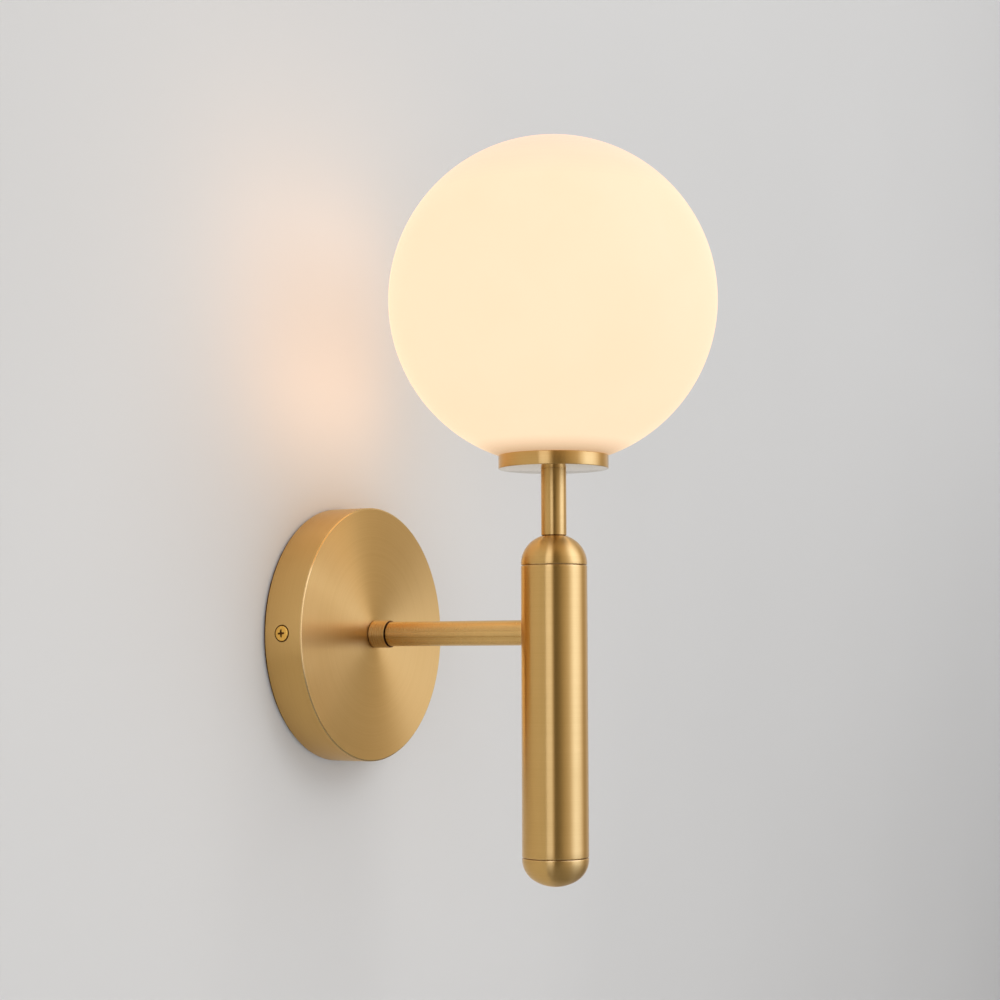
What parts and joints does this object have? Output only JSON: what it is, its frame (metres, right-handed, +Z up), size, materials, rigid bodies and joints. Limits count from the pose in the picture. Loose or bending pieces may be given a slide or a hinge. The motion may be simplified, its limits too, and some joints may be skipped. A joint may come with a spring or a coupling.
{
  "type": "globe wall sconce",
  "caption": "Wall light with a round canopy, a short arm, an upright cylindrical body with domed ends and a lit opal glass globe on a cup.",
  "frame": {"origin": "on the wall plane, at the centre of the canopy and of the two wall slots, on the arm's axis", "axes": "+Z up; +Y into the wall, so the arm points along -Y; +X to the right for someone who faces the wall"},
  "size_m": [0.15, 0.193, 0.3393],
  "materials": {
    "brass": "satin brushed",
    "zinc_steel": "zinc plated",
    "contact_metal": "bright",
    "nylon": "matte",
    "ceramic": "glazed ceramic",
    "bulb_shell": "milky",
    "led_board": "matte",
    "opal_glass": "satin opal, lit",
    "silicone": "matte",
    "cable_sheath": "matte",
    "live_insulation": "matte",
    "neutral_insulation": "matte",
    "earth_insulation": "matte"
  },
  "bodies": {
    "wall_side": {"canopy": "brass", "canopy_screw_left": "brass", "canopy_screw_right": "brass", "mounting_bracket": "zinc_steel", "earth_screw": "zinc_steel", "earth_lug": "zinc_steel", "terminal_block": "nylon", "terminal_tube_upper": "contact_metal", "terminal_tube_lower": "contact_metal", "terminal_screw_1": "zinc_steel", "terminal_screw_2": "zinc_steel", "terminal_screw_3": "zinc_steel", "terminal_screw_4": "zinc_steel", "terminal_fixing_screw": "zinc_steel", "arm_collar": "brass", "collar_nut": "zinc_steel", "stop_pin": "zinc_steel", "live_lead": "live_insulation", "neutral_lead": "neutral_insulation", "earth_lead": "earth_insulation"},
    "arm_and_stem": {"swivel_washer": "zinc_steel", "swivel_nut": "zinc_steel", "arm_nipple": "zinc_steel", "arm_cable": "cable_sheath", "arm_tube": "brass", "body_tube": "brass", "arm_saddle": "zinc_steel", "arm_nut": "zinc_steel", "top_cap": "brass", "bottom_cap": "brass", "neck_tube": "brass", "neck_nipple": "zinc_steel", "neck_nut_lower": "zinc_steel", "neck_nut_upper": "zinc_steel", "gallery_cup": "brass", "globe_seal": "silicone", "holder_bracket": "zinc_steel", "holder_screw_left": "zinc_steel", "holder_screw_right": "zinc_steel", "lampholder": "ceramic", "holder_contact_front": "contact_metal", "holder_contact_rear": "contact_metal", "stem_lead_live": "live_insulation", "stem_lead_neutral": "neutral_insulation"},
    "globe": {"globe_glass": "opal_glass"},
    "bulb": {"bulb_base": "ceramic", "bulb_capsule": "bulb_shell", "led_board": "led_board", "bulb_pin_front": "contact_metal", "bulb_pin_rear": "contact_metal"}
  },
  "joints": [
    {"name": "arm_swivel", "type": "hinge", "parent": "wall_side", "child": "arm_and_stem", "pos_m": [0, 0, 0], "axis": [0, -1, 0], "range_deg": [-160, 180]},
    {"name": "globe_lift", "type": "slide", "parent": "arm_and_stem", "child": "globe", "axis": [0, 0, 1], "range_m": [0, 0.09]},
    {"name": "bulb_pull", "type": "slide", "parent": "arm_and_stem", "child": "bulb", "axis": [0, 0, 1], "range_m": [0, 0.02]}
  ]
}
